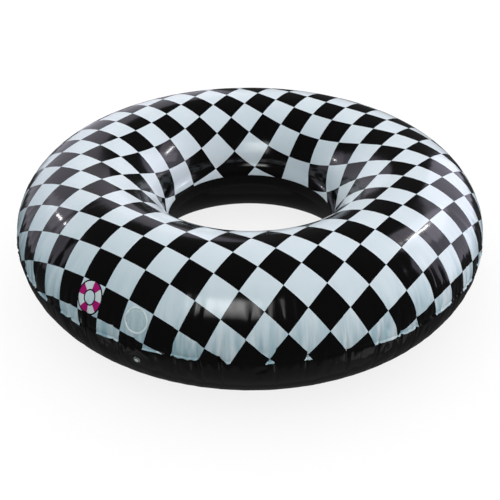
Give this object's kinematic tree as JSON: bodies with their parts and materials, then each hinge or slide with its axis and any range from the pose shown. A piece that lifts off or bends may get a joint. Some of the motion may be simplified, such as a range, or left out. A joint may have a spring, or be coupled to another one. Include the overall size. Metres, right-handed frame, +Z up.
{
  "type": "inflatable ring tube",
  "caption": "Inflated ring tube with a checkered upper panel, a black lower panel, welded seams and a push-in valve below its outer seam.",
  "frame": {"origin": "on the surface that the tube rests on, at the centre of the hole", "axes": "+Z up along the hole's axis; the valve is at azimuth 246 degrees, towards -Y and -X"},
  "size_m": [1.228, 1.228, 0.3452],
  "materials": {
    "printed_film": "glossy printed vinyl film",
    "black_film": "glossy vinyl film",
    "soft_vinyl": "soft translucent vinyl",
    "plug_vinyl": "soft milky vinyl",
    "clear_vinyl": "glossy clear vinyl"
  },
  "bodies": {
    "tube": {"top_panel": "printed_film", "bottom_panel": "black_film", "valve_base": "soft_vinyl", "clear_disc": "clear_vinyl"},
    "stem": {"valve_stem": "soft_vinyl", "plug_strap": "plug_vinyl"},
    "plug": {"valve_plug": "plug_vinyl"},
    "flap": {"check_flap": "soft_vinyl"}
  },
  "joints": [
    {"name": "stem_slide", "type": "slide", "parent": "tube", "child": "stem", "axis": [-0.3965, -0.8905, -0.2231], "range_m": [0, 0.014]},
    {"name": "plug_slide", "type": "slide", "parent": "stem", "child": "plug", "axis": [-0.3965, -0.8905, -0.2231], "range_m": [0, 0.012]},
    {"name": "flap_hinge", "type": "hinge", "parent": "stem", "child": "flap", "pos_m": [-0.23862, -0.53596, 0.133], "axis": [-0.9135, 0.4067, 0], "range_deg": [0, 50], "stiffness_Nm_per_rad": 0.0002}
  ]
}
